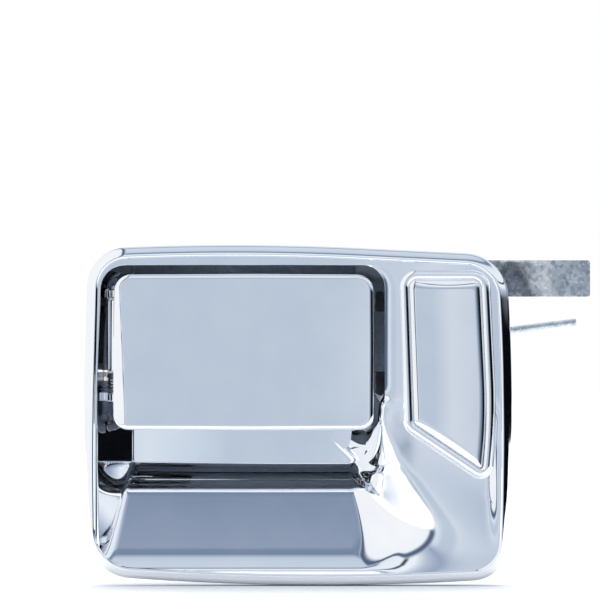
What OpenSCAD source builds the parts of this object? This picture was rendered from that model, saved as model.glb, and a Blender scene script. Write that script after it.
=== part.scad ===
// Outer door handle for a pickup truck's left-hand door, keyless version.
// X runs along the door towards its rear edge, Y into the door, Z up.
// The origin lies at the middle of the bezel, on the plane of the door's outer skin.

/* [Bezel] */
// Overall width of the bezel
bezel_w = 210; // [207:1:214]
// Overall height of the bezel
bezel_h = 167.5; // [166:0.5:172]
// How far the bezel's face stands off the door skin
face_stand = 12.2; // [11.8:0.1:12.6]
// Thickness of the cast walls
wall = 2.6; // [2.4:0.1:2.8]
// Depth of the hand pocket behind the door skin
pocket_depth = 24; // [23:0.5:24.5]

/* [Paddle] */
// Width of the paddle
paddle_w = 128; // [126:0.5:129]
// Height of the paddle
paddle_h = 76.5; // [75:0.5:77]
// How far the paddle's face stands off the door skin
paddle_stand = 13.5; // [13.3:0.1:14]

/* [Hinge] */
// Radius of the hinge pin
pin_r = 2.5; // [2.4:0.05:2.6]
// Radius of the paddle's hinge barrel
barrel_r = 5.5; // [5.3:0.1:5.6]
// Length of the paddle's hinge barrel
barrel_len = 35; // [34:0.5:35]

/* [Release] */
// Distance from the hinge axis to the link rod's eye
lever_reach = 37; // [36.5:0.5:39]
// Radius of the link rod
rod_r = 1.65; // [1.6:0.05:1.75]
// Radius of the link rod's thread
thread_r = 2; // [1.9:0.05:2.1]
// Length of the thread on the link rod
thread_len = 32; // [28:1:36]
// Angle at which the link rod climbs towards the latch
rod_rise = 7.1; // [6.5:0.1:7.5]

/* [Mounting] */
// Radius of the mounting studs
stud_r = 3; // [2.5:0.5:3]
// Distance between the two mounting studs
stud_spacing = 80; // [76:1:84]
// Length of each stud behind its boss
stud_len = 18; // [14:1:22]
// Width of the hook strap
strap_w = 18; // [17:0.5:18.5]
// Thickness of the hook strap
strap_t = 2; // [1.8:0.1:2.2]

/* [Hidden] */
$fn = 48;

chrome = "gainsboro";
zinc = "silver";
rubber = "dimgray";
steel = "lightsteelblue";
nylon = "ivory";

seal_t = 1.5; // thickness of the door gasket
seal_w = 2.2; // width of the door gasket
face_y = -face_stand;
land_t = 2.8; // thickness of the front wall
pan_y = pocket_depth + wall; // rear face of the hand pocket
over = 1; // how far a cutter runs past a face

stretch_x = bezel_w / 210;
stretch_z = bezel_h / 167.5;

// Each outline is a list of [x, z, corner radius], anticlockwise as seen from outside the door.
// Corners with very long radii bow the sides outwards.
bezel_outline = [
    [-104.6 * stretch_x, -78.6 * stretch_z, 24], [6 * stretch_x, -85.5 * stretch_z, 1300],
    [104 * stretch_x, -80.2 * stretch_z, 19], [105.7 * stretch_x, -14 * stretch_z, 1500],
    [102.6 * stretch_x, 78.8 * stretch_z, 22], [-25 * stretch_x, 85 * stretch_z, 1300],
    [-103 * stretch_x, 82 * stretch_z, 20], [-105.6 * stretch_x, -14 * stretch_z, 1500]
];

// Mouth of the hand pocket at the bezel's face, flaring to the right under the lock pad
pocket_mouth = [
    [-98.3, -75.5, 13], [97, -75.5, 14], [97, -42, 12], [55, -14, 14],
    [42.8, 6, 24], [42.8, 74, 11], [-98.3, 74, 12]
];
// Rear wall of the hand pocket, with its corners in the same order
pocket_back = [
    [-81, -24, 4], [32, -24, 7], [34.5, -18, 6], [35.8, -10, 8],
    [36.6, 6, 20], [37, 69, 5], [-83, 69, 5]
];

// Raised border round the lock pad, and the bore behind the pad
pad_border = [[94.3, -34.3, 5.5], [97.2, 0, 300], [93.8, 71.4, 8.5], [50, 71.4, 8.5], [52.6, -6, 7.5]];
border_w = 4.3;
border_h = 1.1;
pad_gap = 0.3;
pad_seat = 1.7; // depth of the pad's seat below the face
lock_x = 72;
lock_z = 24;
lock_r = 9;
lock_boss_y = 4; // rear end of the lock boss
spigot_r = 8.4;
lock_clip_t = 1;

// Paddle, placed by its right edge and its lower edge
paddle_right = 37.5;
paddle_low = -6.8;
paddle_top = paddle_low + paddle_h;
paddle_left = paddle_right - paddle_w;
paddle_outline = [
    [paddle_left, paddle_low, 7.5], [paddle_right - 60, paddle_low - 0.5, 1500],
    [paddle_right, paddle_low, 7], [paddle_right + 0.3, paddle_low + 40, 1500],
    [paddle_right, paddle_top, 8.5], [paddle_right - 60, paddle_top + 0.4, 1500],
    [paddle_left + 0.5, paddle_top, 8.5]
];
paddle_front = -paddle_stand;
paddle_back = -3.5;
paddle_skin = 2.4;

// Hinge, standing upright at the paddle's left end
hinge_x = -88.5;
hinge_y = -4;
barrel_low = 22;
barrel_top = barrel_low + barrel_len;
bush_flange = 0.8;
bush_r = 3.6;
bush_len = 8;
play = 0.05; // radial clearance of a running fit
ear_t = 4;
ear_r = 5;
low_ear_z = 7;
top_ear_z = barrel_top + bush_flange + 0.2;
washer_t = 0.7;
pin_groove_r = 1.9;
pin_low = 4.6;
bay_left = -97.5; // bay in the pocket's left wall that clears the hinge
bay_right = -88;
bay_low = -2;
bay_top = 64.5;
bay_y = 6; // rear wall of the bay

// Release lever, lying flat just under the hinge barrel
lever_t = 2.2;
lever_top = barrel_low - bush_flange - 0.6;
lever_z = lever_top - lever_t;
lever_half = 4;
lever_lean = 5; // angle by which the lever leans to the left at rest
eye_x = hinge_x - lever_reach * sin(lever_lean);
eye_y = hinge_y + lever_reach * cos(lever_lean);
flange_left = -82;
flange_right = -56;
flange_y = -5;
flange_t = 2;
flange_top = 38;
lever_screw_x = [-76, -62];
lever_screw_z = 31;
lever_screw_r = 2;
slot_left = -96.5;
slot_right = -71.4;
slot_gap = 1.5; // room above and below the lever in its slot

// Link rod: an upright leg, a level run, then a run that climbs to the latch
rod_bend = 4;
knee_r = rod_r + 0.2; // the rod swells slightly where it was bent
rod_leg_low = 13;
rod_run_z = 28;
rod_pass_x = 103.8; // a point on the climbing run, beside the bezel
rod_pass_z = 41.2;
rod_end_x = 139;
knee_x = rod_pass_x - (rod_pass_z - rod_run_z) / tan(rod_rise);
climb_len = (rod_end_x - knee_x) / cos(rod_rise);
hook_x = eye_x + 11; // where the rod clip grips the level run

// Hook strap, standing on two bosses behind the lock pad
strap_low = 58.4;
strap_mid = strap_low + strap_w / 2;
strap_y = 14;
strap_hook_y = 2;
strap_left = 47;
strap_right = 144.3;
strap_bosses = [57, 87];
boss_r = 5;
strap_screw_r = 2.2;

stud_mid_x = -22.5;
stud_z = 5;
stud_boss_r = 6.5;
stud_boss_len = 4;
stud_set = 5; // depth of each stud in its boss
stud_knurl = 0.4; // how much thicker the stud's knurled root is

bumper_z = [16, 56];
bumper_x = 33.4;
bumper_r = 3.2;
ledge_y = 1;

coil_r = 4.2;
wire_r = 0.8;
leg_r = 0.7; // the legs, drawn a little thinner than the coils
coil_pitch = 1.5;
coils = 4;

function along(a, b) = (b - a) / norm(b - a);
function flat(v) = [v.x, v.y];
function before(v, i) = flat(v[(i + len(v) - 1) % len(v)]);
function after(v, i) = flat(v[(i + 1) % len(v)]);
// 1 at a corner that points outwards, -1 at one that points inwards
function turn(v, i) = sign(cross(flat(v[i]) - before(v, i), after(v, i) - flat(v[i])));
// Half of the angle between the two sides that meet at a corner
function half(v, i) = acos(along(flat(v[i]), before(v, i)) * along(flat(v[i]), after(v, i))) / 2;
function halfway(a, b) = (a + b) / norm(a + b);
function bisector(v, i) = halfway(along(flat(v[i]), before(v, i)), along(flat(v[i]), after(v, i)));

// Corner i after every side has moved inwards by d
function moved(v, i, d) = flat(v[i]) + turn(v, i) * bisector(v, i) * d / sin(half(v, i));
function inset(v, d) = [
    for (i = [0:len(v) - 1]) let (m = moved(v, i, d)) [m.x, m.y, max(v[i].z - turn(v, i) * d, 0.5)]
];

// Points of an outline, with every corner drawn as an arc
function arc_centre(v, i) = flat(v[i]) + bisector(v, i) * v[i].z / sin(half(v, i));
function arc_angle(v, i, t) = atan2(-bisector(v, i).y, -bisector(v, i).x) + turn(v, i) * (180 - 2 * half(v, i)) * t;
function rounded(v, steps = 5) = [
    for (i = [0:len(v) - 1])
        for (k = [0:steps])
            let (a = arc_angle(v, i, k / steps - 0.5))
            arc_centre(v, i) + v[i].z * [cos(a), sin(a)]
];

function middle(p) = [for (k = [0, 1]) (min([for (q = p) q[k]]) + max([for (q = p) q[k]])) / 2];

// Solid through a list of outlines, each [points, y], from the rear one to the front one
module loft(rings) {
    n = len(rings[0][0]);
    last = len(rings) - 1;
    rear_mid = middle(rings[0][0]);
    front_mid = middle(rings[last][0]);
    points = concat(
        [for (r = rings) for (p = r[0]) [p.x, r[1], p.y]],
        [[rear_mid.x, rings[0][1], rear_mid.y], [front_mid.x, rings[last][1], front_mid.y]]
    );
    sides = [
        for (r = [0:last - 1]) for (i = [0:n - 1]) for (half_of_quad = [0, 1])
            half_of_quad == 0
                ? [r * n + i, (r + 1) * n + i, (r + 1) * n + (i + 1) % n]
                : [r * n + i, (r + 1) * n + (i + 1) % n, r * n + (i + 1) % n]
    ];
    rear_cap = [for (i = [0:n - 1]) [n * (last + 1), i, (i + 1) % n]];
    front_cap = [for (i = [0:n - 1]) [n * (last + 1) + 1, last * n + (i + 1) % n, last * n + i]];
    polyhedron(points, concat(sides, rear_cap, front_cap), convexity = 8);
}

// Flat plate of a given outline, from y0 back to y1
module plate(points, y0, y1) {
    translate([0, y1, 0]) rotate([90, 0, 0]) linear_extrude(y1 - y0) polygon(points);
}

// Round post that runs into the door from y0 to y1
module post(x, z, y0, y1, r) {
    translate([x, y1, z]) rotate([90, 0, 0]) cylinder(r = r, h = y1 - y0);
}

// Box between two opposite corners
module block(a, b) {
    translate(a) cube(b - a);
}

// Upright disc or bush on the hinge axis
module ring_at(x, y, z, h, outer, inner) {
    translate([x, y, z]) difference() {
        cylinder(r = outer, h = h);
        translate([0, 0, -over]) cylinder(r = inner, h = h + 2 * over);
    }
}

// ---------- bezel ----------

// Outer skin with its rolled rim
module bezel_skin() {
    loft([
        [rounded(bezel_outline), -seal_t],
        [rounded(inset(bezel_outline, 0.1)), face_y + 3.2],
        [rounded(inset(bezel_outline, 0.9)), face_y + 0.7],
        [rounded(inset(bezel_outline, 2.6)), face_y - 0.7],
        [rounded(inset(bezel_outline, 4.8)), face_y - 0.7],
        [rounded(inset(bezel_outline, 6.6)), face_y]
    ]);
}

module bezel_hollow() {
    plate(rounded(inset(bezel_outline, wall)), face_y + land_t, over);
}

module pocket_hollow() {
    loft([
        [rounded(pocket_back), pocket_depth],
        [rounded(pocket_mouth), face_y],
        [rounded(pocket_mouth), face_y - 3]
    ]);
    block([bay_left, face_y - over, bay_low], [bay_right, bay_y, bay_top]);
}

module pocket_shell() {
    loft([
        [rounded(inset(pocket_back, -wall)), pan_y],
        [rounded(inset(pocket_mouth, -wall)), face_y + wall]
    ]);
    block([bay_left - wall, face_y + wall, bay_low - wall], [bay_right, bay_y + wall, bay_top + wall]);
}

module hinge_ear(z) {
    translate([hinge_x, hinge_y, z]) cylinder(r = ear_r, h = ear_t);
    translate([0, 0, z]) linear_extrude(ear_t) polygon([
        [hinge_x - ear_r, hinge_y], [hinge_x + ear_r, hinge_y],
        [hinge_x + ear_r, pocket_depth - 1], [hinge_x - ear_r, bay_y + 1]
    ]);
}

module bezel_casting() {
    color(chrome) difference() {
        union() {
            difference() {
                bezel_skin();
                bezel_hollow();
            }
            difference() {
                pocket_shell();
                pocket_hollow();
            }
            plate(rounded(inset(pad_border, border_w - 3)), face_y + land_t - over, face_y + land_t + 1.6);
            plate(rounded(pad_border), face_y - border_h, face_y + over);
            post(lock_x, lock_z, face_y + over, lock_boss_y, lock_r + 3);
            for (x = strap_bosses) post(x, strap_mid, face_y + over, strap_y, boss_r);
            for (x = [-0.5, 0.5]) stud_boss(stud_mid_x + x * stud_spacing);
        }
        pocket_opening();
        plate(rounded(inset(pad_border, border_w)), face_y - 3, face_y + pad_seat);
        post(lock_x, lock_z, face_y - over, lock_boss_y + over, lock_r);
        for (x = strap_bosses) post(x, strap_mid, strap_y - 12, strap_y + over, strap_screw_r);
        for (x = [-0.5, 0.5]) stud_bore(stud_mid_x + x * stud_spacing);
        lever_slot();
    }
    color(chrome) difference() {
        union() {
            hinge_ear(low_ear_z);
            hinge_ear(top_ear_z);
        }
        translate([hinge_x, hinge_y, 0]) cylinder(r = pin_r, h = 80);
    }
    color(chrome) for (z = bumper_z) difference() {
        block([bumper_x - 4.4, ledge_y, z - 4.5], [bumper_x + 4, pocket_depth + over, z + 4.5]);
        post(bumper_x, z, ledge_y - over, ledge_y + 5, 1.5);
    }
}

// The part of the hand pocket that opens through the bezel's face
module pocket_opening() {
    plate(rounded(pocket_mouth), face_y - 3, face_y + over);
    pocket_hollow();
}

module stud_boss(x) {
    post(x, stud_z, pocket_depth + over, pan_y + stud_boss_len, stud_boss_r);
}

module stud_bore(x) {
    post(x, stud_z, pan_y + stud_boss_len - stud_set, pan_y + stud_boss_len + over, stud_r + stud_knurl);
}

module lever_slot() {
    block([slot_left, bay_y - over, lever_z - slot_gap], [slot_right, pan_y + over, lever_top + slot_gap]);
}

// ---------- fittings on the bezel ----------

module lock_blank() {
    color(chrome) difference() {
        union() {
            loft([
                [rounded(inset(pad_border, border_w + pad_gap)), face_y + pad_seat],
                [rounded(inset(pad_border, border_w + pad_gap)), face_y],
                [rounded(inset(pad_border, border_w + pad_gap + 1.2)), face_y - 0.7]
            ]);
            post(lock_x, lock_z, face_y + over, lock_boss_y + 4, spigot_r);
        }
        translate([lock_x, lock_boss_y + 1.15, lock_z]) rotate([90, 0, 0]) difference() {
            cylinder(r = spigot_r + over, h = lock_clip_t + 0.1);
            translate([0, 0, -over]) cylinder(r = spigot_r - 0.9, h = lock_clip_t + 2 * over);
        }
    }
}

module lock_blank_clip() {
    color(steel) translate([lock_x, lock_boss_y + 1.1, lock_z]) rotate([90, 0, 0]) difference() {
        cylinder(r = 12, h = lock_clip_t);
        translate([0, 0, -over]) cylinder(r = spigot_r - 0.8, h = lock_clip_t + 2 * over);
        translate([-5, -15, -over]) cube([10, 12, lock_clip_t + 2 * over]);
    }
}

module lock_seal() {
    color(rubber) translate([lock_x, face_y + pad_seat + 3.4, lock_z]) rotate([90, 0, 0]) rotate_extrude()
        translate([spigot_r + 0.3, 0]) circle(r = 0.29);
}

module door_gasket() {
    color(rubber) difference() {
        plate(rounded(bezel_outline), -seal_t, 0);
        plate(rounded(inset(bezel_outline, seal_w)), -seal_t - over, over);
    }
}

module mounting_studs() {
    root_y = pan_y + stud_boss_len;
    color(zinc) for (x = [-0.5, 0.5]) {
        post(stud_mid_x + x * stud_spacing, stud_z, root_y - stud_set, root_y, stud_r + stud_knurl);
        post(stud_mid_x + x * stud_spacing, stud_z, root_y - over, root_y + stud_len, stud_r);
    }
}

module hook_strap() {
    color(zinc) difference() {
        translate([0, 0, strap_low]) linear_extrude(strap_w) polygon([
            [strap_left, strap_y], [102, strap_y], [123.5, strap_hook_y], [strap_right, strap_hook_y],
            [strap_right, strap_hook_y + strap_t], [124.3, strap_hook_y + strap_t],
            [102.8, strap_y + strap_t], [strap_left, strap_y + strap_t]
        ]);
        for (x = strap_bosses) post(x, strap_mid, strap_y - over, strap_y + strap_t + over, strap_screw_r + 0.4);
    }
}

module strap_screws() {
    head_y = strap_y + strap_t + 0.8;
    color(zinc) for (x = strap_bosses) {
        post(x, strap_mid, strap_y - 11, head_y + over, strap_screw_r);
        post(x, strap_mid, head_y, head_y + 2.6, 4);
    }
}

module strap_washers() {
    color(zinc) for (x = strap_bosses) difference() {
        post(x, strap_mid, strap_y + strap_t, strap_y + strap_t + 0.8, 4.8);
        post(x, strap_mid, strap_y, strap_y + strap_t + 2, strap_screw_r + 0.2);
    }
}

module hinge_pin() {
    color(steel) difference() {
        union() {
            translate([hinge_x, hinge_y, pin_low]) cylinder(r = pin_r, h = top_ear_z + ear_t + over - pin_low);
            translate([hinge_x, hinge_y, top_ear_z + ear_t]) cylinder(r = 3.9, h = 1.8);
        }
        ring_at(hinge_x, hinge_y, low_ear_z - 1.1, 0.8, pin_r + over, pin_groove_r);
    }
}

module pin_clip() {
    color(steel) translate([hinge_x, hinge_y, low_ear_z - 1.05]) difference() {
        cylinder(r = 4.6, h = 0.7);
        translate([0, 0, -over]) cylinder(r = pin_groove_r, h = 3);
        translate([-1.6, 0, -over]) cube([3.2, 6, 3]);
    }
}

module hinge_washer() {
    color(steel) ring_at(hinge_x, hinge_y, low_ear_z + ear_t, washer_t, ear_r, pin_r + 0.2);
}

module return_spring() {
    z0 = low_ear_z + ear_t + washer_t + 0.1 + wire_r;
    z1 = z0 + (coils - 1) * coil_pitch;
    color(steel) union() {
        translate([hinge_x, hinge_y, z0]) rotate_extrude()
            for (k = [0:coils - 1]) translate([coil_r, k * coil_pitch]) circle(r = wire_r);
        translate([hinge_x - coil_r, hinge_y - 0.5, z0]) rotate([-90, 0, 0])
            cylinder(r = leg_r, h = bay_y - hinge_y + 0.2);
        translate([hinge_x + coil_r, hinge_y - 0.5, z1]) rotate([-90, 0, 0])
            cylinder(r = leg_r, h = 12.5);
        translate([hinge_x + coil_r, hinge_y + 11, z1 - leg_r]) cylinder(r = leg_r - 0.05, h = 5);
    }
}

module paddle_bumpers() {
    color(rubber) for (z = bumper_z) {
        post(bumper_x, z, paddle_back + 0.2, ledge_y, bumper_r);
        post(bumper_x, z, ledge_y - over, ledge_y + 4.5, 1.5);
    }
}

module lever_stop_pad() {
    z0 = lever_z - slot_gap;
    z1 = lever_top + slot_gap;
    color(rubber) difference() {
        block([slot_right - 2, pocket_depth - 1.5, z0 + 0.1], [slot_right + 3, pan_y + 1.5, z1 - 0.1]);
        block([slot_right, pocket_depth, z0 - over], [slot_right + 4, pan_y, z1 + over]);
    }
}

// ---------- paddle ----------

module paddle_shell() {
    difference() {
        loft([
            [rounded(paddle_outline), paddle_back],
            [rounded(paddle_outline), paddle_front + 3.8],
            [rounded(inset(paddle_outline, 0.7)), paddle_front + 1.7],
            [rounded(inset(paddle_outline, 2)), paddle_front + 0.5],
            [rounded(inset(paddle_outline, 4)), paddle_front]
        ]);
        plate(rounded(inset(paddle_outline, paddle_skin)), paddle_front + paddle_skin, paddle_back + over);
        block([-100, paddle_front + paddle_skin, 2], [hinge_x + 6.5, 5, barrel_top + 10]);
    }
}

module paddle() {
    color(chrome) difference() {
        union() {
            paddle_shell();
            translate([hinge_x, hinge_y, barrel_low]) cylinder(r = barrel_r, h = barrel_len);
            block([paddle_left + 1.2, paddle_front + over, barrel_low], [hinge_x + 5, hinge_y, barrel_top]);
            for (x = lever_screw_x) post(x, lever_screw_z, paddle_front + over, flange_y, 4.2);
        }
        translate([hinge_x, hinge_y, barrel_low - over]) cylinder(r = pin_r + 0.5, h = barrel_len + 2 * over);
        translate([hinge_x, hinge_y, barrel_low - over]) cylinder(r = bush_r, h = bush_len + over);
        translate([hinge_x, hinge_y, barrel_top - bush_len]) cylinder(r = bush_r, h = bush_len + over);
        for (x = lever_screw_x) post(x, lever_screw_z, paddle_front + paddle_skin, flange_y + over, lever_screw_r);
    }
}

module hinge_bushes() {
    color(nylon) for (z = [barrel_low, barrel_top - bush_len]) {
        ring_at(hinge_x, hinge_y, z, bush_len, bush_r, pin_r + play);
        ring_at(hinge_x, hinge_y, z == barrel_low ? z - bush_flange : z + bush_len, bush_flange, ear_r, pin_r + play);
    }
}

module release_lever() {
    color(zinc) difference() {
        union() {
            translate([hinge_x, hinge_y, lever_z]) cylinder(r = 5.2, h = lever_t);
            translate([eye_x, eye_y, lever_z]) cylinder(r = 5, h = lever_t);
            translate([0, 0, lever_z]) linear_extrude(lever_t) polygon([
                [hinge_x + 4.2, hinge_y + 1], [eye_x + lever_half, eye_y],
                [eye_x - lever_half, eye_y], [hinge_x - 4.6, hinge_y + 1]
            ]);
            block([hinge_x + 1, flange_y, lever_z], [flange_right, -0.5, lever_top]);
            block([flange_left, flange_y, lever_top - 0.5], [flange_right, flange_y + flange_t, flange_top]);
        }
        translate([hinge_x, hinge_y, lever_z - over]) cylinder(r = pin_r + 0.08, h = lever_t + 2 * over);
        translate([eye_x, eye_y, lever_z - over]) cylinder(r = rod_r + 0.08, h = lever_t + 2 * over);
        for (x = lever_screw_x) post(x, lever_screw_z, flange_y - over, flange_y + 4, lever_screw_r + 0.3);
    }
}

module lever_screws() {
    head_y = flange_y + flange_t;
    color(zinc) for (x = lever_screw_x) {
        post(x, lever_screw_z, paddle_front + paddle_skin + 0.6, head_y + over, lever_screw_r);
        post(x, lever_screw_z, head_y, head_y + 2.2, 3.8);
    }
}

// ---------- link rod ----------

module link_rod() {
    leg_top = rod_run_z - rod_bend;
    color(zinc) {
        translate([eye_x, eye_y, rod_leg_low]) cylinder(r = rod_r, h = leg_top - rod_leg_low);
        translate([eye_x + rod_bend, eye_y, leg_top]) rotate([90, 0, 0]) rotate([0, 0, 90])
            rotate_extrude(angle = 90) translate([rod_bend, 0]) circle(r = rod_r);
        translate([eye_x + rod_bend, eye_y, rod_run_z]) rotate([0, 90, 0])
            cylinder(r = rod_r, h = knee_x - eye_x - rod_bend);
        translate([knee_x, eye_y, rod_run_z]) rotate([0, 90, 0]) sphere(r = knee_r);
        translate([knee_x, eye_y, rod_run_z]) rotate([0, 90 - rod_rise, 0]) {
            cylinder(r = rod_r, h = climb_len - thread_len + over);
            translate([0, 0, climb_len - thread_len]) cylinder(r = thread_r, h = thread_len);
        }
    }
}

module rod_clip() {
    color(nylon) difference() {
        union() {
            translate([eye_x, eye_y, lever_z - 2.6]) cylinder(r = 4.6, h = 2.3);
            block([eye_x, eye_y - 2.5, lever_z - 2.6], [hook_x + 1, eye_y + 2.5, lever_z - 0.3]);
            block([hook_x - 2, eye_y - 2.5, lever_z - 2.6], [hook_x + 1, eye_y + 2.5, rod_run_z - 1]);
            translate([hook_x - 2, eye_y, rod_run_z]) rotate([0, 90, 0]) cylinder(r = 3.4, h = 3);
        }
        translate([eye_x, eye_y, lever_z - 4]) cylinder(r = rod_r, h = 8);
        translate([hook_x - 3, eye_y, rod_run_z]) rotate([0, 90, 0]) cylinder(r = rod_r, h = 5);
        block([hook_x - 3, eye_y - 1.4, rod_run_z], [hook_x + 2, eye_y + 1.4, rod_run_z + 5]);
    }
}

bezel_casting();
lock_blank();
lock_blank_clip();
lock_seal();
door_gasket();
mounting_studs();
hook_strap();
strap_screws();
strap_washers();
hinge_pin();
pin_clip();
hinge_washer();
return_spring();
paddle_bumpers();
lever_stop_pad();
paddle();
hinge_bushes();
release_lever();
lever_screws();
link_rod();
rod_clip();
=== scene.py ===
import math

import bmesh
import bpy
from mathutils import Matrix, Vector


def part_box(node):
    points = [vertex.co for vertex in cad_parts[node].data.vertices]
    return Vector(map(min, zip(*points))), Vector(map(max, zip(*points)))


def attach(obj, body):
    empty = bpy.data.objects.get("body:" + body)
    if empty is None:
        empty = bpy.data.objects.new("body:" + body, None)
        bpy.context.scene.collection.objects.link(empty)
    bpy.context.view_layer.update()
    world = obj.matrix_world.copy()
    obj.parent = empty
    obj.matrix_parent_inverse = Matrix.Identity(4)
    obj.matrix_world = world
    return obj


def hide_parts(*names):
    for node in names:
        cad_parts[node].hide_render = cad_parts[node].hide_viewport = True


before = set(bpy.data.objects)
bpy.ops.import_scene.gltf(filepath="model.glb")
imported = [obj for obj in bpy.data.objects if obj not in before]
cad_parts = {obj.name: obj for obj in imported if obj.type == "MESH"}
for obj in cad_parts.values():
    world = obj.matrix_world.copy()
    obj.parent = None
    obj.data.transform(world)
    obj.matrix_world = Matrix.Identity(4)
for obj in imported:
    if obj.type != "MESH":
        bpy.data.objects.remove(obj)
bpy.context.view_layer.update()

# ---------------------------------------------------------------- bezel front
# The bezel is one zinc die casting, polished and chrome plated outside. It has a rolled rim, a flat
# land for the lock pad, and a hand pocket whose floor runs up and back from the bottom rim and whose
# right end flares out under the pad in one soft scoop.
MM = 0.001
rim_rear = -1.5                  # the casting ends on the gasket; depths are in mm from the door skin
land_y = -12.2                   # the flat land round the lock pad and above the pocket
pocket_y = 24.0                  # the pocket's rear wall
cast_wall = 2.4


def along(a, b):
    return (b - a).normalized()


def corner_facts(corners, i):
    """Turn direction, half angle, inward bisector and place of one corner of an outline."""
    here = Vector(corners[i][:2])
    back = along(here, Vector(corners[i - 1][:2]))
    ahead = along(here, Vector(corners[(i + 1) % len(corners)][:2]))
    turn = 1 if -back.x * ahead.y + back.y * ahead.x > 0 else -1
    half = back.angle(ahead) / 2
    return here, turn, half, (back + ahead).normalized()


def inset(corners, distance):
    """The outline with every side moved inwards, and its corner radii changed to suit."""
    moved = []
    for i, corner in enumerate(corners):
        here, turn, half, inwards = corner_facts(corners, i)
        place = here + turn * inwards * distance / math.sin(half)
        moved.append((place.x, place.y, max(corner[2] - turn * distance, 0.4)))
    return moved


def trace(corners, arc_steps=10, side_steps=23):
    """Points along an outline of (x, z, radius) corners: an arc at each corner, then a straight side."""
    arcs = []
    for i, corner in enumerate(corners):
        here, turn, half, inwards = corner_facts(corners, i)
        centre = here + inwards * corner[2] / math.sin(half)
        middle = math.atan2(-inwards.y, -inwards.x)
        sweep = turn * (math.pi - 2 * half)
        angles = [middle + sweep * (k / arc_steps - 0.5) for k in range(arc_steps + 1)]
        arcs.append([centre + corner[2] * Vector((math.cos(a), math.sin(a))) for a in angles])
    points = []
    for i, arc in enumerate(arcs):
        following = arcs[(i + 1) % len(arcs)][0]
        points += arc
        points += [arc[-1].lerp(following, k / side_steps) for k in range(1, side_steps)]
    return points


def ring(corners, counts):
    """Evenly spaced points along an outline: a given number from each corner's middle to the next's."""
    fine = trace(corners, 24, 24)
    each = len(fine) // len(corners)
    points = []
    for i, count in enumerate(counts):
        run = [fine[(i * each + 12 + k) % len(fine)] for k in range(each + 1)]
        reached = [0.0]
        for a, b in zip(run, run[1:]):
            reached.append(reached[-1] + (b - a).length)
        j = 0
        for n in range(count):
            goal = reached[-1] * n / count
            while reached[j + 1] < goal:
                j += 1
            points.append(run[j].lerp(run[j + 1], (goal - reached[j]) / (reached[j + 1] - reached[j])))
    return points


def skin_over(rows, closed=True):
    """A bmesh sheet through rows of points in mm; each row closes on itself unless told otherwise."""
    if closed:
        rows = [row + row[:1] for row in rows]
    mesh = bmesh.new()
    bmesh.ops.create_grid(mesh, x_segments=len(rows[0]) - 1, y_segments=len(rows) - 1, size=1)
    mesh.verts.ensure_lookup_table()
    for r, row in enumerate(rows):
        for c, point in enumerate(row):
            mesh.verts[r * len(row) + c].co = Vector(point) * MM
    bmesh.ops.remove_doubles(mesh, verts=mesh.verts, dist=0.002 * MM)
    return mesh


def face_out(mesh, direction=None):
    """Turns a closed shell's faces outwards, or an open sheet's faces to look in one direction."""
    bmesh.ops.recalc_face_normals(mesh, faces=mesh.faces)
    if direction is not None:
        looking = sum(f.normal.dot(Vector(direction)) * f.calc_area() for f in mesh.faces)
        if looking < 0:
            bmesh.ops.reverse_faces(mesh, faces=mesh.faces)


def piece(name, mesh, body, replaces, materials, smooth=40):
    """Makes a bmesh a named piece that rides on a body. Edges sharper than smooth degrees stay sharp."""
    data = bpy.data.meshes.new(name)
    mesh.to_mesh(data)
    mesh.free()
    made = bpy.data.objects.new(name, data)
    bpy.context.scene.collection.objects.link(made)
    data.polygons.foreach_set("use_smooth", [True] * len(data.polygons))
    data.set_sharp_from_angle(angle=math.radians(smooth))
    for material in materials:
        data.materials.append(material)
    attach(made, body)
    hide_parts(*replaces)
    return made


def smooth_min(a, b, soft):
    """The lower of two depths, with a fillet of about the given size where they cross."""
    share = min(max(0.5 + 0.5 * (b - a) / soft, 0.0), 1.0)
    return b + (a - b) * share - soft * share * (1 - share)


def smooth_max(a, b, soft):
    """The higher of two depths, blended in the same way."""
    return -smooth_min(-a, -b, soft)


def ease(t):
    """Rises from 0 to 1 as t does, level at both ends."""
    t = min(max(t, 0.0), 1.0)
    return t * t * (3 - 2 * t)


def inside_corner(a, b, radius):
    """Distance in from two walls that meet in a rounded corner."""
    if a < radius and b < radius:
        return radius - math.hypot(radius - a, radius - b)
    return min(a, b)


mouth_left, mouth_right, mouth_top = -98.3, 42.8, 74.0
lip_z, lip_y, floor_slope = -76.5, -11.4, 0.5            # the pocket's floor starts at the bottom rim
curl_z, curl_height, curl_depth = -39, 14.5, 9.5         # and curls up into the rear wall
rear_left = -82                                          # left end of the rear wall


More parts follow.
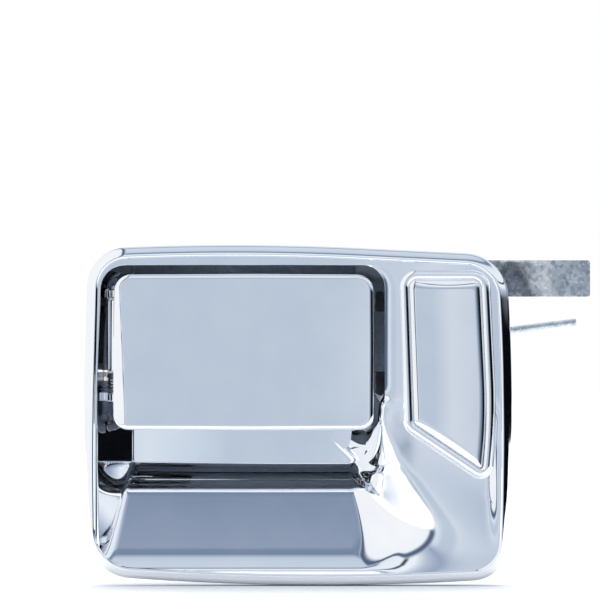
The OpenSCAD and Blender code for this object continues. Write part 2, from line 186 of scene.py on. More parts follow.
def casting_depth(x, z):
    """Depth of the casting's front face into the door, in mm, at a place on the bezel."""
    curl = curl_depth * (max(0.0, z - curl_z) / curl_height) ** 2
    floor = lip_y + floor_slope * (z - lip_z) + curl
    rear_wall = pocket_y - 0.2 - 0.035 * (x - rear_left) + 0.00019 * (x - rear_left) ** 2
    deep = smooth_min(rear_wall, floor, 1.6)
    drop = max(min(pocket_y, floor) - land_y, 0.3)

    # The left end slopes in below the paddle. Beside the paddle it is a steep wall and the hinge bay.
    foot = rear_left - 0.23 * max(0.0, -23.6 - z)
    low_left = land_y + drop / (foot - mouth_left) * (x - mouth_left)
    wall_left = mouth_left + 1.7 * ease((z - 10) / 60)
    steep_left = land_y + 7 * inside_corner(x - wall_left, mouth_top - z, 12)
    bay = smooth_max(2.5 + 0.9 * (x - mouth_left - 0.8), low_left, 1.0)
    beside_paddle = ease((z + 6) / 4)
    left = low_left * (1 - beside_paddle) + smooth_min(steep_left, bay, 1.5) * beside_paddle

    # The right end is a steep wall beside the paddle, and widens downwards into the scoop.
    brow = mouth_right + 48 * ease((4 - z) / 76)
    valley = 36.8 - 8.5 * ease((6 - z) / 34) + 0.45 * max(0.0, -28 - z)
    rise = min(max((brow - x) / (brow - valley), 0.0), 1.4)
    flare = land_y + drop * rise ** 2.9
    steep_right = land_y + 6 * inside_corner(mouth_right - x, mouth_top - z, 11)
    upright = ease((z - 4) / 10)
    right = flare * (1 - upright) + steep_right * upright
    soft_valley = 2 + 8 * (1 - ease((z + 22) / 22))
    pocket = smooth_min(smooth_min(deep, left, 1.4), right, soft_valley)

    # The land rolls back slightly to the right, and is dished along the pad's slanting lower end.
    below_pad = -0.5615 * (x - 52.6) - 0.827 * (z + 6)
    dish = 1.3 * ease(1 - below_pad / 27) * ease((x - 46) / 12) * ease((99 - x) / 6) * ease((10 - z) / 14)
    land = land_y + 0.0006 * max(0.0, x - 62) ** 2 + dish
    soft_brow = 1.0 + 3.5 * ease((x - 36) / 16) * ease((4 - z) / 24)
    return smooth_max(land, pocket, soft_brow)


# Corners of the bezel's edge, the pocket's mouth and the pocket's rear wall, station by station.
edge_corners = [
    (-104.6, -78.6, 24), (6, -85.5, 1300), (104, -80.2, 19), (105.2, -48, 900), (105.6, -10, 900),
    (105, 35, 900), (102.6, 78.8, 22), (-25, 85, 1300), (-103, 82, 20), (-105.6, -14, 1500),
]
mouth_corners = [
    (-98.0, -72.6, 14), (6, -78.6, 1300), (97, -73.8, 13), (97, -42, 12), (55, -14, 14),
    (42.8, 6, 24), (42.8, 74, 11), (-25, 74.1, 900), (-96.5, 74, 12), (-98.3, -5, 900),
]
rear_corners = [
    (-82, -24.5, 2), (-20, -24.6, 300), (33, -24.5, 5), (35, -18, 6), (35.8, -10, 8),
    (36.8, 6, 12), (36.9, 68.8, 6), (-25, 69, 300), (-83, 68.8, 5), (-81.9, 5, 300),
]
# The rim's section, as distance in from the edge and depth
rim_section = [
    (0, rim_rear), (0, -4), (0, -7), (0.12, -8.8), (0.45, -10), (1.0, -10.9), (1.8, -11.7), (2.7, -12.3),
    (3.5, -12.75), (4.1, -13.0), (4.5, -13.05), (4.8, -12.98), (5.05, -12.8), (5.25, -12.58), (5.45, -12.4),
]
# The inside of the rim's skirt, from the gasket up to the land
skirt_section = [
    (0, rim_rear), (cast_wall, rim_rear), (cast_wall, -4), (cast_wall, -7), (2.9, -8.6), (4.2, -9.7),
]

# How many columns of the mesh run from the middle of each corner to the next
ring_counts = [50, 48, 16, 20, 18, 28, 50, 32, 40, 28]


def casting_plan():
    """Rings of places on the bezel, from the inside of its rim to the middle of the pocket."""
    rim_inner = ring(inset(edge_corners, 5.95), ring_counts)
    mouth = ring(mouth_corners, ring_counts)
    inner_mouth = ring(inset(mouth_corners, 2.6), ring_counts)
    rear = ring(rear_corners, ring_counts)
    inner_rear = ring(inset(rear_corners, 1.6), ring_counts)
    centre = Vector((-22, 22))
    plan = [ring(inset(edge_corners, d), ring_counts) for d in (5.62, 5.8)]
    plan += [[a.lerp(b, k / 20) for a, b in zip(rim_inner, mouth)] for k in range(20)] + [mouth]
    plan += [[a.lerp(b, t) for a, b in zip(mouth, inner_mouth)] for t in
             [0.05, 0.1, 0.17, 0.26, 0.38, 0.52, 0.68, 0.84, 1]]
    plan += [[a.lerp(b, k / 42) for a, b in zip(inner_mouth, rear)] for k in range(1, 43)]
    plan += [[a.lerp(b, k / 4) for a, b in zip(rear, inner_rear)] for k in range(1, 5)]
    return plan + [[a.lerp(centre, k / 8) for a in inner_rear] for k in range(1, 9)]


def casting_sheet(section, behind):
    """The casting's front or rear face: a section round its edge, then the depths over the plan."""
    rows = [[(p.x, y, p.y) for p in ring(inset(edge_corners, d), ring_counts)] for d, y in section]
    for places in casting_plan():
        rows.append([(p.x, casting_depth(p.x, p.y) + behind, p.y) for p in places])
    return skin_over(rows)


def block(mesh, low, high):
    """Adds a box between two corners in mm."""
    low, high = Vector(low) * MM, Vector(high) * MM
    grow = Matrix.Diagonal((high - low).to_4d())
    bmesh.ops.create_cube(mesh, size=1, matrix=Matrix.Translation((low + high) / 2) @ grow)


def turned(mesh, profile, start, axis, steps=48):
    """Adds a turned shape: a profile of (along, radius) in mm, spun about an axis through start."""
    axis = Vector(axis)
    outwards = axis.orthogonal().normalized()
    origin = Vector(start) * MM
    points = [mesh.verts.new(origin + (axis * a + outwards * r) * MM) for a, r in profile]
    lines = [mesh.edges.new(pair) for pair in zip(points, points[1:])]
    bmesh.ops.spin(mesh, geom=points + lines, cent=origin, axis=axis, angle=math.tau, steps=steps,
                   use_merge=True)
    bmesh.ops.remove_doubles(mesh, verts=mesh.verts, dist=0.002 * MM)


def solid(mesh, thickness, offset=-1.0, rear=0):
    """Gives a sheet its thickness; its rear can use another material slot."""
    modifier = mesh.modifiers.new("thickness", "SOLIDIFY")
    modifier.thickness = thickness * MM
    modifier.offset = offset
    modifier.use_even_offset = False
    modifier.material_offset = rear


slot_x, slot_z = (-95.5, -71.4), (16.9, 22.1)            # the slot for the release lever


def cut_slot(mesh):
    """Cuts the release lever's slot through one face of the casting."""
    def inside(face, grow):
        middle = face.calc_center_median() / MM
        return (slot_x[0] - grow < middle.x < slot_x[1] + grow
                and slot_z[0] - grow < middle.z < slot_z[1] + grow)
    for axis, at in [("X", slot_x[0]), ("X", slot_x[1]), ("Z", slot_z[0]), ("Z", slot_z[1])]:
        near = [f for f in mesh.faces if inside(f, 6)]
        geometry = near + list({e for f in near for e in f.edges})
        geometry += list({v for f in near for v in f.verts})
        normal = Vector((1, 0, 0)) if axis == "X" else Vector((0, 0, 1))
        bmesh.ops.bisect_plane(mesh, geom=geometry, plane_co=normal * at * MM, plane_no=normal)
    bmesh.ops.delete(mesh, geom=[f for f in mesh.faces if inside(f, 0)], context="FACES")


front, behind = casting_sheet(rim_section, 0), casting_sheet(skirt_section, cast_wall)
cut_slot(front)
cut_slot(behind)
for face in behind.faces:
    face.material_index = 1
data = bpy.data.meshes.new("rear face")
behind.to_mesh(data)
behind.free()
front.from_mesh(data)
bpy.data.meshes.remove(data)
bmesh.ops.remove_doubles(front, verts=[v for v in front.verts if v.is_boundary], dist=0.002 * MM)
bmesh.ops.bridge_loops(front, edges=[e for e in front.edges if e.is_boundary])
face_out(front)


def linear(code):
    """A six-digit sRGB hex colour as linear RGBA."""
    parts = [int(code[i:i + 2], 16) / 255 for i in (0, 2, 4)]
    return [c / 12.92 if c <= 0.04045 else ((c + 0.055) / 1.055) ** 2.4 for c in parts] + [1.0]


def add_node(tree, kind, settings=(), links=()):
    """Adds a node, sets its properties and sockets by name, and links (output, input) pairs to it."""
    node = tree.nodes.new(kind)
    for name, value in dict(settings).items():
        if isinstance(name, int) or name in node.inputs.keys():
            node.inputs[name].default_value = value
        else:
            setattr(node, name, value)
    for output, name in links:
        tree.links.new(output, node.inputs[name])
    return node


def new_material(name):
    """A new material, its node tree and its shader."""
    material = bpy.data.materials.new(name)
    material.use_nodes = True
    tree = material.node_tree
    return material, tree, tree.nodes["Principled BSDF"]


def colour_ramp(tree, factor, stops):
    """A ramp from (place, hex colour) stops."""
    ramp = add_node(tree, "ShaderNodeValToRGB", {}, [(factor, 0)])
    elements = ramp.color_ramp.elements
    elements[0].position, elements[1].position = stops[0][0], stops[-1][0]
    for place, code in stops[1:-1]:
        elements.new(place)
    for element, (place, code) in zip(elements, stops):
        element.color = linear(code)
    return ramp


def chrome_plate(name, tint, waviness, gloss=0.035):
    """Decorative chrome over nickel on a polished casting: a near mirror with a faint blue cast.

    The polishing leaves slow waves a few centimetres long, and hazy patches that dull it slightly.
    """
    material, tree, shader = new_material(name)
    place = add_node(tree, "ShaderNodeTexCoord")
    haze = add_node(tree, "ShaderNodeTexNoise", {"Scale": 1 / (18 * MM), "Detail": 3},
                    [(place.outputs["Object"], 0)])
    shade = colour_ramp(tree, haze.outputs[0], [(0.3, tint[0]), (0.7, tint[1])])
    dull = add_node(tree, "ShaderNodeMapRange", {1: 0.3, 2: 0.7, 3: gloss * 0.6, 4: gloss * 1.5},
                    [(haze.outputs[0], 0)])
    waves = add_node(tree, "ShaderNodeTexNoise", {"Scale": 1 / (30 * MM), "Detail": 0},
                     [(place.outputs["Object"], 0)])
    bump = add_node(tree, "ShaderNodeBump", {"Distance": waviness * MM}, [(waves.outputs[0], "Height")])
    tree.links.new(shade.outputs[0], shader.inputs["Base Color"])
    tree.links.new(dull.outputs[0], shader.inputs["Roughness"])
    tree.links.new(bump.outputs[0], shader.inputs["Normal"])
    shader.inputs["Metallic"].default_value = 1.0
    return material


bezel_chrome = chrome_plate("chrome plated casting", ("f5f7fa", "fafbfd"), 0.03)


def plated_zinc(name, pale, dark, grain, rough=0.32, pits=0.02):
    """Zinc plate, or bare cast zinc: a dull grey metal with spangled patches, fine pits and soft stains."""
    material, tree, shader = new_material(name)
    place = add_node(tree, "ShaderNodeTexCoord")
    spangle = add_node(tree, "ShaderNodeTexVoronoi", {"Scale": 1 / (grain * MM)},
                       [(place.outputs["Object"], "Vector")])
    stain = add_node(tree, "ShaderNodeTexNoise",
                     {"Scale": 1 / (4 * grain * MM), "Detail": 6, "Roughness": 0.65},
                     [(place.outputs["Object"], "Vector")])
    both = add_node(tree, "ShaderNodeMix", {"data_type": "RGBA", 0: 0.35},
                    [(stain.outputs[0], 6), (spangle.outputs["Color"], 7)])
    shade = colour_ramp(tree, both.outputs[2], [(0.3, dark), (0.62, pale)])
    dull = add_node(tree, "ShaderNodeMapRange", {1: 0.3, 2: 0.7, 3: rough * 1.3, 4: rough * 0.75},
                    [(stain.outputs[0], 0)])
    fine = add_node(tree, "ShaderNodeTexNoise", {"Scale": 1 / (0.5 * MM), "Detail": 2},
                    [(place.outputs["Object"], "Vector")])
    bump = add_node(tree, "ShaderNodeBump", {"Distance": pits * MM}, [(fine.outputs[0], "Height")])
    tree.links.new(shade.outputs[0], shader.inputs["Base Color"])
    tree.links.new(dull.outputs[0], shader.inputs["Roughness"])
    tree.links.new(bump.outputs[0], shader.inputs["Normal"])
    shader.inputs["Metallic"].default_value = 1.0
    return material


rear_casting = plated_zinc("thinly plated rear of casting", "d3d8df", "b9c0ca", 2.2, 0.5, 0.04)
piece("bezel_front", front, "bezel", ["bezel_casting"], [bezel_chrome, rear_casting])

# ---------------------------------------------------------------- bosses, hinge ears and ledges
# Cast in one with the bezel's back: bosses for the studs, the strap's screws and the lock pad's spigot,
# two ears that hold the hinge pin, and two ledges for the paddle's bumpers. Only the ears are bright.
into_door, upwards = (0, 1, 0), (0, 0, 1)
stud_x, stud_z = (-62.5, 17.5), 5
strap_z = 67.4
spigot_x, spigot_z = 72, 24
hinge_x, hinge_y = -88.5, -4
bosses = bmesh.new()
for x in stud_x:
    turned(bosses, [(0, 0), (0, 8.5), (1.4, 7), (4.6, 6.5), (4.6, 0)], (x, 26, stud_z), into_door)
for x in (57, 87):
    turned(bosses, [(0, 0), (0, 7), (1.5, 5.3), (23.6, 5), (23.6, 0)], (x, -9.8, strap_z), into_door)
turned(bosses, [(0, 8.4), (0, 13.5), (1.6, 12.2), (13.8, 12), (13.8, 8.5), (0, 8.4)],
       (spigot_x, -9.8, spigot_z), into_door)
for low in (7, 58):
    turned(bosses, [(0, 0), (0, 4.6), (0.4, 5), (3.6, 5), (4, 4.6), (4, 0)], (hinge_x, hinge_y, low), upwards)
    block(bosses, (hinge_x - 4.9, hinge_y, low), (hinge_x + 4.9, 8, low + 4))
for z in (16, 56):
    block(bosses, (29, 1, z - 5), (36, 24.5, z + 5))
face_out(bosses)
for face in bosses.faces:
    middle = face.calc_center_median() / MM
    face.material_index = int(middle.x < -80 and middle.y < 12)
piece("bezel_bosses_and_hinge_ears", bosses, "bezel", ["bezel_casting"],
      [rear_casting, bezel_chrome], smooth=30)

# ---------------------------------------------------------------- lock pad border
# The border round the lock pad is a rounded bead of the same casting, about a millimetre proud of the
# land and chrome plated with it. Its inner edge drops to the pad's seat.
pad_corners = [(94.3, -34.3, 5.5), (97.2, 0, 300), (93.8, 71.4, 8.5), (50, 71.4, 8.5), (52.6, -6, 7.5)]
border_section = [
    (-1.0, -10.6), (-0.3, -11.9), (0, -12.3), (0.35, -12.8), (0.9, -13.15), (1.6, -13.35), (2.3, -13.38),
    (3.0, -13.3), (3.6, -13.05), (4.0, -12.6), (4.15, -12.1), (4.2, -11.2),
]
border = skin_over([[(p.x, y, p.y) for p in trace(inset(pad_corners, d), 14, 16)] for d, y in border_section])
face_out(border, (0, -1, 0))
piece("lock_pad_border", border, "bezel", ["bezel_casting"], [bezel_chrome], smooth=60)


# ---------------------------------------------------------------- lock pad
# The lock pad is a separate chrome blank that fills the place of a lock: a crowned plate with rounded
# edges, with a spigot through the casting that a spring clip holds from behind.
pad_section = [(4.55, -10.6), (4.55, -12.2), (4.7, -12.55), (5.1, -12.8), (5.8, -12.9)]
pad_middle = Vector((74, 26))


def pad_front(point):
    """Depth of the pad's face, which is crowned from side to side."""
    return -12.9 - 0.3 * (1 - ((point.x - pad_middle.x) / 22) ** 2)


pad_rows = [[(p.x, y, p.y) for p in trace(inset(pad_corners, d), 14, 16)] for d, y in pad_section]
pad_edge = trace(inset(pad_corners, 6.4), 14, 16)
for k in range(13):
    points = [p.lerp(pad_middle, k / 12) for p in pad_edge]
    pad_rows.append([(p.x, pad_front(p), p.y) for p in points])
pad = skin_over(pad_rows)
bmesh.ops.holes_fill(pad, edges=[e for e in pad.edges if e.is_boundary], sides=0)
turned(pad, [(0, 0), (0, 8.4), (16.6, 8.4), (16.6, 7.5), (17.7, 7.5), (17.7, 8.4), (19.6, 8.4), (20.2, 7.8),
             (20.2, 0)], (spigot_x, land_y, spigot_z), into_door)
face_out(pad)
for face in pad.faces:
    face.material_index = int(face.calc_center_median().y > -9 * MM)
pad_chrome = chrome_plate("chrome plated pad", ("f3f5f8", "f9fafc"), 0.03)
piece("lock_pad", pad, "bezel", ["lock_blank"], [pad_chrome, rear_casting])

# ---------------------------------------------------------------- paddle
# The paddle is a hollow chrome plated casting with a crowned face. Its left flank is bevelled and ends
# in a hinge knuckle, and two bosses inside take the screws of the release lever.
paddle_corners = [
    (-90.5, -6.8, 7.5), (-22, -7.3, 1500), (37.5, -6.8, 7), (37.8, 33, 1500), (37.5, 69.7, 8.5),
    (-22, 70.1, 1500), (-90.2, 69.7, 8.5), (-90.45, 30, 1500),
]
paddle_section = [
    (0, -3.5), (0, -8), (0, -10.9), (0.08, -11.7), (0.3, -12.35), (0.65, -12.8), (1.1, -13.1), (1.8, -13.27),
]
paddle_middle = Vector((-27, 31))
paddle_wall = 2.0
knuckle = (22, 57)               # the knuckle's two ends, between the bezel's ears


def paddle_front(x, y, z):
    """Depth on the paddle's face, or on its bevelled left flank where that is further back."""
    flank = -88.2 + 0.036 * (66 - z)
    return smooth_max(y, -13.3 + 0.5 * (flank - x), 0.25)


def crown(x, z):
    """Depth of the paddle's face, crowned both ways."""
    return -13.3 - 0.16 * (1 - ((x + 27) / 66) ** 2) * (1 - ((z - 31) / 40) ** 2)


paddle_rows = []
for d, y in paddle_section:
    row = []
    for p in trace(inset(paddle_corners, d)):
        skirt = min(y, -10.6) if p.x < -82 and 2 < p.y < 67 else y
        row.append((p.x, paddle_front(p.x, skirt, p.y), p.y))
    paddle_rows.append(row)
paddle_edge = trace(inset(paddle_corners, 2.5))
for t in [0, 0.01, 0.022, 0.036, 0.052, 0.07, 0.1, 0.15, 0.22, 0.3, 0.4, 0.5, 0.6, 0.7, 0.8, 0.9, 1]:
    points = [p.lerp(paddle_middle, t) for p in paddle_edge]
    paddle_rows.append([(p.x, paddle_front(p.x, crown(p.x, p.y), p.y), p.y) for p in points])
shell = skin_over(paddle_rows)
face_out(shell, (0, -1, 0))
paddle_chrome = chrome_plate("chrome plated paddle", ("f4f6f9", "f9fafc"), 0.015)
# The sealer is a paint, pale grey and matt, over the casting's bare inside.
sealer = plated_zinc("grey sealer inside the paddle", "c9d5e4", "b4c2d4", 2.2, 0.6, 0.04)
sealer.node_tree.nodes["Principled BSDF"].inputs["Metallic"].default_value = 0.1
paddle = piece("paddle_shell", shell, "paddle", ["paddle"], [paddle_chrome, sealer])
solid(paddle, paddle_wall, rear=1)

inside = bmesh.new()
turned(inside, [(0, 3), (0, 5.1), (0.4, 5.5), (34.6, 5.5), (35, 5.1), (35, 3), (0, 3)],
       (hinge_x, hinge_y, knuckle[0]), upwards)
block(inside, (-88.9, -11.2, knuckle[0]), (-84, -4.5, knuckle[1]))
for x in (-76, -62):
    turned(inside, [(0, 0), (0, 5.4), (1.2, 4.4), (7.2, 4.2), (7.2, 0)], (x, -12.2, 31), into_door)
face_out(inside)
piece("paddle_knuckle_and_bosses", inside, "paddle", ["paddle"], [paddle_chrome], smooth=30)

# ---------------------------------------------------------------- link rod
# The rod is zinc plated steel wire, bent at both ends: its short leg hooks up through the lever's eye,
# and its far end climbs gently and carries a rolled M4 thread.
def swept(mesh, path, radius, sides=20):
    """Adds a round bar along points in mm. radius is a number or a function of (length, angle)."""
    rows, ahead, along_path = [], None, 0.0
    for i, point in enumerate(path):
        tangent = (path[min(i + 1, len(path) - 1)] - path[max(i - 1, 0)]).normalized()
        if ahead is None:
            ahead, side = tangent, tangent.orthogonal().normalized()
        side = ahead.rotation_difference(tangent) @ side
        ahead = tangent
        across = tangent.cross(side)
        if i:
            along_path += (point - path[i - 1]).length
        row = []
        for k in range(sides):
            angle = math.tau * k / sides
            r = radius(along_path, angle) if callable(radius) else radius
            row.append(point + r * (math.cos(angle) * side + math.sin(angle) * across))
        rows.append(row)
    rows = [[path[0]] * sides] + rows + [[path[-1]] * sides]
    bar = skin_over(rows)
    data = bpy.data.meshes.new("bar")
    bar.to_mesh(data)
    bar.free()
    mesh.from_mesh(data)
    bpy.data.meshes.remove(data)


def bend(centre, start, turn_axis, degrees, steps=10):
    """Points of an arc that starts at a point and turns about an axis through the centre."""
    arm = Vector(start) - Vector(centre)
    return [Vector(centre) + Matrix.Rotation(math.radians(degrees * k / steps), 3, turn_axis) @ arm
            for k in range(steps + 1)]


def thread(start, length, pitch, outer, depth):
    """Radius of a threaded bar: a helical ridge from a place along it, with a run-out of one pitch."""
    def radius(along_bar, angle):
        turns = (along_bar - start) / pitch - angle / math.tau
        ridge = abs(turns % 1 - 0.5) * 2
        run_in = min(max((along_bar - start) / pitch, 0.0), 1.0)
        run_out = min(max((start + length - along_bar) / pitch, 0.35), 1.0)
        return outer - depth + depth * ridge * (run_in * run_out)
    return radius


eye = Vector((-91.725, 32.859))  # the lever's eye, from above
run_z, knee_x, end_x, climb = 28, -2.17, 139, math.radians(7.1)
level = [Vector((x, eye.y, run_z)) for x in (-60, -30, knee_x - 3)]
knee = bend((knee_x - 3, eye.y, run_z + 48.4), (knee_x - 3, eye.y, run_z), Vector((0, -1, 0)), 7.1, 8)
climb_way = Vector((math.cos(climb), 0, math.sin(climb)))
climb_length = (end_x - knee[-1].x) / math.cos(climb)
thread_length = 32
plain = [Vector((eye.x, eye.y, z)) for z in (13.3, 18, 23.9)]
plain += bend((eye.x + 4, eye.y, 24), (eye.x, eye.y, 24), Vector((0, 1, 0)), 90)
plain += level + knee + [knee[-1] + climb_way * (climb_length - thread_length)]
rod = bmesh.new()
swept(rod, plain, 1.65)
thread_start = plain[-1] - climb_way * 0.5
steps = int(thread_length / 0.07)
swept(rod, [thread_start + climb_way * (thread_length + 0.5) * k / steps for k in range(steps + 1)],
      thread(0.6, thread_length - 0.1, 0.7, 1.98, 0.42), 22)
face_out(rod)
rod_zinc = plated_zinc("zinc plated rod", "eceff2", "cdd3da", 2.5, 0.28, 0.01)
piece("threaded_rod", rod, "rod", ["link_rod"], [rod_zinc], smooth=50)

# ---------------------------------------------------------------- hook strap
# The strap is 2 mm galvanised sheet, stamped and bent twice so its free end hooks behind the door skin.
# Two washer headed screws hold it to bosses on the back of the bezel.
strap_left, strap_right = 47, 144.3


def strap_path():
    """The strap's centre line from above: straight runs joined by bends."""
    lines = [Vector((strap_left, 15)), Vector((102.4, 15)), Vector((123.9, 3)), Vector((strap_right, 3))]
    path = [lines[0], Vector((75, 15))]
    for a, b, c in zip(lines, lines[1:], lines[2:]):
        path += [b + (a - b).normalized() * 3 * (1 - t) ** 2 + (c - b).normalized() * 3 * t ** 2
                 for t in [k / 8 for k in range(9)]]
    return path + [lines[-1] + Vector((x, 0)) for x in (-9, -4, -1.4, -1, -0.6, -0.3, -0.1, 0)]


def strap_half_width(x, corner=1.3):
    """Half the strap's width, less where its corners are rounded."""
    near_end = max(corner - (strap_right - x), corner - (x - strap_left), 0.0)
    return 9 - corner + math.sqrt(max(corner ** 2 - near_end ** 2, 0.0))


strap = skin_over([[(p.x, p.y, strap_z + strap_half_width(p.x) * (k / 8 - 1)) for k in range(17)]
                   for p in strap_path()], closed=False)
face_out(strap, (0, -1, 0))
strap_zinc = plated_zinc("galvanised strap", "d6dade", "979da5", 1.7, 0.27, 0.03)
hook_strap = piece("bent_strap", strap, "bezel", ["hook_strap"], [strap_zinc], smooth=35)
solid(hook_strap, 1.98, offset=0)
edge = hook_strap.modifiers.new("stamped edge", "BEVEL")
edge.width, edge.segments, edge.limit_method = 0.3 * MM, 2, "ANGLE"
edge.angle_limit = math.radians(50)

# ---------------------------------------------------------------- return spring
# A torsion spring of round spring steel wire sits on the hinge pin. One leg bears on the bezel's bay
# and the other, with a short hooked end, pushes the paddle shut.
coil_r, wire_r, coil_count, pitch = 4.2, 0.78, 4, 1.6
low_coil = 12.7
wire = [Vector((hinge_x - coil_r, 6.0, low_coil)), Vector((hinge_x - coil_r, 2.0, low_coil))]
turns = [k / 24 for k in range(24 * coil_count - 11)]
for t in turns:
    angle = math.pi + math.tau * t
    wire.append(Vector((hinge_x + coil_r * math.cos(angle), hinge_y + coil_r * math.sin(angle),
                        low_coil + pitch * t)))
top = low_coil + pitch * turns[-1]
leg_x = hinge_x + coil_r
wire += [Vector((leg_x, y, top)) for y in (-3, 2, 5.6)]
wire += bend((leg_x, 5.6, top + 1.4), (leg_x, 5.6, top), Vector((1, 0, 0)), 90, 6)[1:]
wire += [wire[-1] + Vector((0, 0, 3))]
coil = bmesh.new()
swept(coil, wire, wire_r, 14)
face_out(coil)
spring_steel = plated_zinc("oil dark spring steel", "a9aeb5", "6d7279", 1.5, 0.22, 0.005)
piece("coil_spring", coil, "bezel", ["return_spring"], [spring_steel], smooth=60)

# ---------------------------------------------------------------- studs
# Two M6 steel studs are pressed into bosses on the back of the pocket, and nuts inside the door pull
# the handle up against its gasket with them.
studs = bmesh.new()
for x in stud_x:
    turned(studs, [(0, 0), (0, 3.4), (4.7, 3.4), (5.2, 2.9), (5.2, 0)], (x, 25.7, stud_z), into_door, 32)
    swept(studs, [Vector((x, 30.4 + 18.2 * k / 220, stud_z)) for k in range(221)],
          thread(0.8, 17.4, 1.0, 2.99, 0.55), 24)
face_out(studs)
stud_zinc = plated_zinc("zinc plated studs", "d5d9dd", "9da4ac", 2, 0.26, 0.01)
piece("threaded_studs", studs, "bezel", ["mounting_studs"], [stud_zinc], smooth=50)

# ---------------------------------------------------------------- small fittings
# Washers, screws, clips, the hinge pin and the stamped release lever keep their CAD shapes: all are
# zinc plated or spring steel. The bushes and the rod clip are moulded nylon, the seals are rubber.
def finish_nodes(material, *names):
    """Gives parts that keep their own shape a finish."""
    for name in names:
        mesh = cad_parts[name].data
        mesh.materials.clear()
        mesh.materials.append(material)


def moulded(name, pale, dark, rough, grain):
    """A moulded rubber or plastic: a matt colour with slight bloom and a fine skin texture."""
    material, tree, shader = new_material(name)
    place = add_node(tree, "ShaderNodeTexCoord")
    bloom = add_node(tree, "ShaderNodeTexNoise", {"Scale": 1 / (6 * MM), "Detail": 4},
                     [(place.outputs["Object"], "Vector")])
    skin = add_node(tree, "ShaderNodeTexNoise", {"Scale": 1 / (grain * MM), "Detail": 2},
                    [(place.outputs["Object"], "Vector")])
    shade = colour_ramp(tree, bloom.outputs[0], [(0.35, dark), (0.7, pale)])
    bump = add_node(tree, "ShaderNodeBump", {"Distance": 0.04 * MM}, [(skin.outputs[0], "Height")])
    tree.links.new(shade.outputs[0], shader.inputs["Base Color"])
    tree.links.new(bump.outputs[0], shader.inputs["Normal"])
    shader.inputs["Roughness"].default_value = rough
    return material


finish_nodes(spring_steel, "lock_blank_clip", "pin_clip")
finish_nodes(plated_zinc("zinc plated fasteners", "d9dde1", "a3a9b1", 2, 0.25, 0.01),
             "strap_screws", "strap_washers", "lever_screws")
finish_nodes(plated_zinc("ground steel pin", "c9cdd2", "9aa0a7", 2, 0.2, 0.005), "hinge_pin", "hinge_washer")
finish_nodes(plated_zinc("phosphated steel lever", "767c84", "50555c", 3, 0.34, 0.02), "release_lever")
finish_nodes(moulded("seal rubber", "26282b", "17181a", 0.55, 0.4),
             "lock_seal", "paddle_bumpers", "lever_stop_pad")
finish_nodes(moulded("foam gasket", "1e1f21", "111214", 0.9, 0.7), "door_gasket")
finish_nodes(moulded("natural nylon", "ece8dc", "dcd6c6", 0.42, 0.5), "hinge_bushes", "rod_clip")

# ---------------------------------------------------------------- stage
# The handle stands on a sweep of white paper, 0.3 mm below its lowest edge so that the two don't touch.
# The paper is matt and plain, and isn't part of the handle.
skin_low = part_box("bezel_casting")[0]
floor_mesh = bmesh.new()
bmesh.ops.create_grid(floor_mesh, x_segments=1, y_segments=1, size=2)
bmesh.ops.translate(floor_mesh, verts=floor_mesh.verts, vec=(0, 1.7, skin_low.z - 0.0003))
floor_data = bpy.data.meshes.new("floor")
floor_mesh.to_mesh(floor_data)
floor_mesh.free()
floor = bpy.data.objects.new("floor", floor_data)
bpy.context.scene.collection.objects.link(floor)
paper, tree, shader = new_material("white paper sweep")
shader.inputs["Base Color"].default_value = linear("f6f7f9")
shader.inputs["Roughness"].default_value = 0.9
floor.data.materials.append(paper)

# The chrome mirrors the studio round it: a white wall on the left with one dark door frame, a pale grey
# one behind the camera that darkens to the right, a white ceiling with a dark rail and a grey panel
# overhead, and a pale floor. The backdrop itself is plain white.
world = bpy.data.worlds.new("studio")
bpy.context.scene.world = world
world.use_nodes = True
tree = world.node_tree
tree.nodes.clear()
direction = add_node(tree, "ShaderNodeTexCoord")
split = add_node(tree, "ShaderNodeSeparateXYZ", {}, [(direction.outputs["Generated"], 0)])
side = add_node(tree, "ShaderNodeMapRange", {1: -1.0, 2: 1.0}, [(split.outputs[0], 0)])
across = colour_ramp(tree, side.outputs[0], [
    (0.1, "f4f8fd"), (0.36, "fbfdff"), (0.445, "e8eff7"), (0.465, "d0dbe8"), (0.477, "bfccdb"),
    (0.504, "bfccdb"), (0.516, "d6dde8"), (0.55, "c3cfde"), (0.62, "8e9db3"), (0.7, "3a4250"),
    (0.78, "07090d"),
])
up = colour_ramp(tree, split.outputs[2], [
    (0.05, "b9c5d6"), (0.11, "9caac1"), (0.17, "bcc8d9"), (0.25, "f2f7fc"), (0.3, "eef4fb"),
    (0.325, "3f4a5a"), (0.345, "3f4a5a"), (0.37, "eef4fb"), (0.6, "e9f0f9"), (0.7, "e2eaf4"),
    (0.74, "c0ccdd"), (0.775, "7e8ea7"), (0.83, "7989a3"), (0.88, "c3cfde"), (1.0, "d3dde9"),
])
rise = add_node(tree, "ShaderNodeMapRange", {1: 0.03, 2: 0.1}, [(split.outputs[2], 0)])
sky = add_node(tree, "ShaderNodeMix", {"data_type": "RGBA"},
               [(rise.outputs[0], 0), (across.outputs[0], 6), (up.outputs[0], 7)])
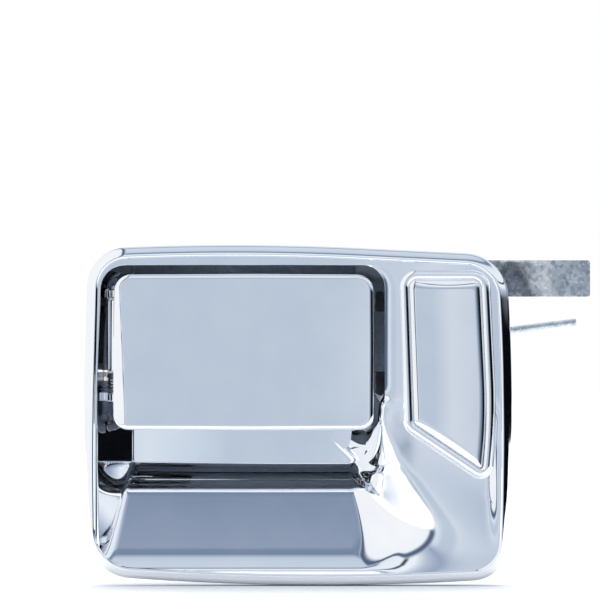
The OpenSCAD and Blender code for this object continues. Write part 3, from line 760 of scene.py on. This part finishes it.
window = colour_ramp(tree, side.outputs[0], [
    (0.3, "f9fbfe"), (0.405, "f4f8fc"), (0.42, "56657f"), (0.434, "56657f"), (0.45, "c3cfde"),
])
left = add_node(tree, "ShaderNodeMapRange", {1: -0.09, 2: -0.12}, [(split.outputs[0], 0)])
sky = add_node(tree, "ShaderNodeMix", {"data_type": "RGBA"},
               [(left.outputs[0], 0), (sky.outputs[2], 6), (window.outputs[0], 7)])
low = add_node(tree, "ShaderNodeMapRange", {1: -0.07, 2: -0.15}, [(split.outputs[2], 0)])
sky = add_node(tree, "ShaderNodeMix", {"data_type": "RGBA", 7: linear("cfd9e6")},
               [(low.outputs[0], 0), (sky.outputs[2], 6)])
seen = add_node(tree, "ShaderNodeLightPath")
lit = add_node(tree, "ShaderNodeBackground", {"Strength": 1.0}, [(sky.outputs[2], 0)])
plain = add_node(tree, "ShaderNodeBackground", {"Color": linear("ffffff"), "Strength": 1.0})
both = add_node(tree, "ShaderNodeMixShader", {},
                [(seen.outputs["Is Camera Ray"], 0), (lit.outputs[0], 1), (plain.outputs[0], 2)])
add_node(tree, "ShaderNodeOutputWorld", {}, [(both.outputs[0], 0)])

# A wide soft lamp overhead, slightly behind the handle, lights the dull metals and gives a soft shadow.
key = bpy.data.objects.new("softbox", bpy.data.lights.new("softbox", "SUN"))
bpy.context.scene.collection.objects.link(key)
key.data.energy = 2.25
key.data.angle = math.radians(50)
key.rotation_euler = (math.radians(-14), 0, 0)
key.visible_glossy = False

# A long lens, almost level with the handle and square to its face
camera = bpy.data.objects.new("camera", bpy.data.cameras.new("camera"))
bpy.context.scene.collection.objects.link(camera)
aim = Vector((1.2, -12, 56.9)) * MM
distance, view_width, lift = 2.6, 0.2944, math.radians(0.4)
camera.location = aim + distance * Vector((0, -math.cos(lift), math.sin(lift)))
camera.rotation_euler = (aim - camera.location).to_track_quat("-Z", "Y").to_euler()
camera.data.sensor_width = 36
camera.data.lens = 36 * distance / view_width
bpy.context.scene.camera = camera
bpy.context.scene.view_settings.view_transform = "Standard"
